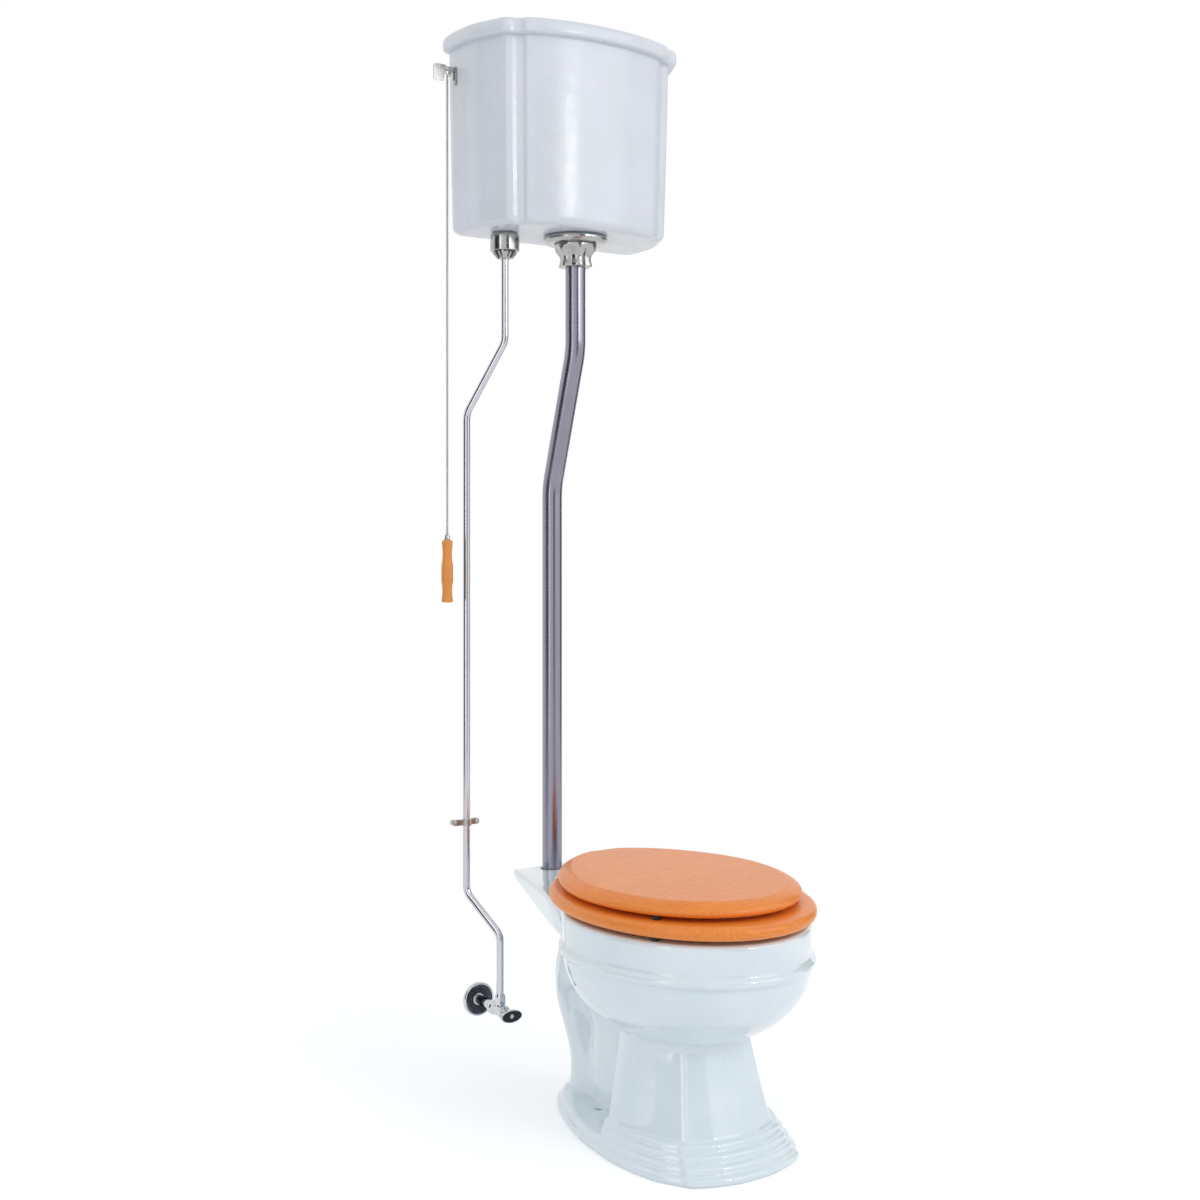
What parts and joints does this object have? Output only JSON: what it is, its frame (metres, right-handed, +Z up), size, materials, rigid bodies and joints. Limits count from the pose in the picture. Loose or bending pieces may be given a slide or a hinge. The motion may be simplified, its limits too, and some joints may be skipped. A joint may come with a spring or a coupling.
{
  "type": "high tank pull chain toilet",
  "caption": "Floor-standing china toilet bowl with a wooden seat and lid, a wall-hung high tank, a flush pipe, a lever with a bead pull chain, and a supply tube with a stop valve.",
  "frame": {"origin": "centre of the waste outlet at the finished floor", "axes": "+Z up; the bowl's front faces -Y; the finished wall is the plane y = 0.305; +X is to the right seen from the front"},
  "size_m": [0.449, 0.662, 1.797],
  "materials": {
    "white_china": "glossy vitreous china",
    "oiled_oak": "lacquered golden oak",
    "chrome": "polished chrome on brass",
    "nickel": "polished nickel on brass",
    "satin_pipe": "satin nickel plated brass tube",
    "brass": "plain brass inside the tank",
    "copper": "spun copper",
    "black_rubber": "matte black rubber",
    "black_plastic": "black enamelled handle",
    "clear_tube": "milky flexible tube"
  },
  "bodies": {
    "fixture": {"toilet_bowl": "white_china", "bowl_inlet_seal": "black_rubber", "hinge_posts": "chrome", "hinge_post_nuts": "chrome", "hinge_rod": "chrome", "tank_body": "white_china", "tank_lid": "white_china", "flush_valve_gasket": "black_rubber", "flush_valve_seat": "brass", "overflow_tube": "brass", "outlet_flange": "nickel", "outlet_lobed_nut": "nickel", "flush_pipe": "satin_pipe", "lift_rod_guide": "brass", "ballcock_gasket": "black_rubber", "ballcock_body": "brass", "float_pin": "brass", "refill_tube": "clear_tube", "inlet_cup_nut": "nickel", "supply_coupling_nut": "nickel", "supply_tube": "chrome", "pipe_clamp": "nickel", "clamp_screws": "nickel", "compression_nut": "chrome", "stop_valve_body": "chrome", "escutcheon": "chrome", "wall_nipple": "chrome", "lever_bracket": "nickel", "lever_pin": "nickel"},
    "seat": {"seat_ring": "oiled_oak", "seat_leaves": "chrome", "seat_leaf_screws": "chrome", "seat_bumpers": "black_rubber"},
    "lid": {"seat_lid": "oiled_oak", "lid_leaves": "chrome", "lid_leaf_screws": "chrome", "lid_bumpers": "black_rubber"},
    "lever": {"flush_lever": "nickel"},
    "chain": {"chain_hook": "nickel", "pull_chain": "nickel", "chain_bell": "nickel", "pull_handle": "oiled_oak"},
    "flush_valve_ball": {"flush_ball": "black_rubber", "lift_rod": "brass", "lift_rod_collar": "brass"},
    "float": {"float_arm": "brass", "float_ball": "copper"},
    "plunger": {"ballcock_plunger": "brass"},
    "valve_handle": {"stop_valve_stem": "chrome", "stop_valve_handle": "black_plastic", "handle_screw": "chrome"}
  },
  "joints": [
    {"name": "seat_hinge", "type": "hinge", "parent": "fixture", "child": "seat", "pos_m": [0, 0.126, 0.366], "axis": [-1, 0, 0], "range_deg": [0, 98]},
    {"name": "lid_hinge", "type": "hinge", "parent": "seat", "child": "lid", "pos_m": [0, 0.126, 0.366], "axis": [1, 0, 0], "range_deg": [-98, 0]},
    {"name": "lever_pivot", "type": "hinge", "parent": "fixture", "child": "lever", "pos_m": [-0.12, 0.263, 1.735], "axis": [0, -1, 0], "range_deg": [0, 10]},
    {"name": "chain_hang", "type": "hinge", "parent": "lever", "child": "chain", "pos_m": [-0.213, 0.263, 1.735], "axis": [0, -1, 0], "range_deg": [-10, 0]},
    {"name": "flush_lift", "type": "slide", "parent": "fixture", "child": "flush_valve_ball", "axis": [0, 0, 1], "range_m": [0, 0.0216]},
    {"name": "float_pivot", "type": "hinge", "parent": "fixture", "child": "float", "pos_m": [-0.108, 0.229, 1.7], "axis": [0, -1, 0], "range_deg": [0, 30]},
    {"name": "plunger_slide", "type": "slide", "parent": "fixture", "child": "plunger", "axis": [0, 0, 1], "range_m": [-0.0065, 0]},
    {"name": "stop_valve_turn", "type": "hinge", "parent": "fixture", "child": "valve_handle", "pos_m": [-0.133, 0.185, 0.133], "axis": [0, -1, 0], "range_deg": [0, 90]}
  ],
  "couplings": [
    {"joint": "chain_hang", "follows": "lever_pivot", "ratio": -1},
    {"joint": "flush_lift", "follows": "lever_pivot", "m_per_rad": 0.1215},
    {"joint": "plunger_slide", "follows": "float_pivot", "m_per_rad": -0.012}
  ]
}
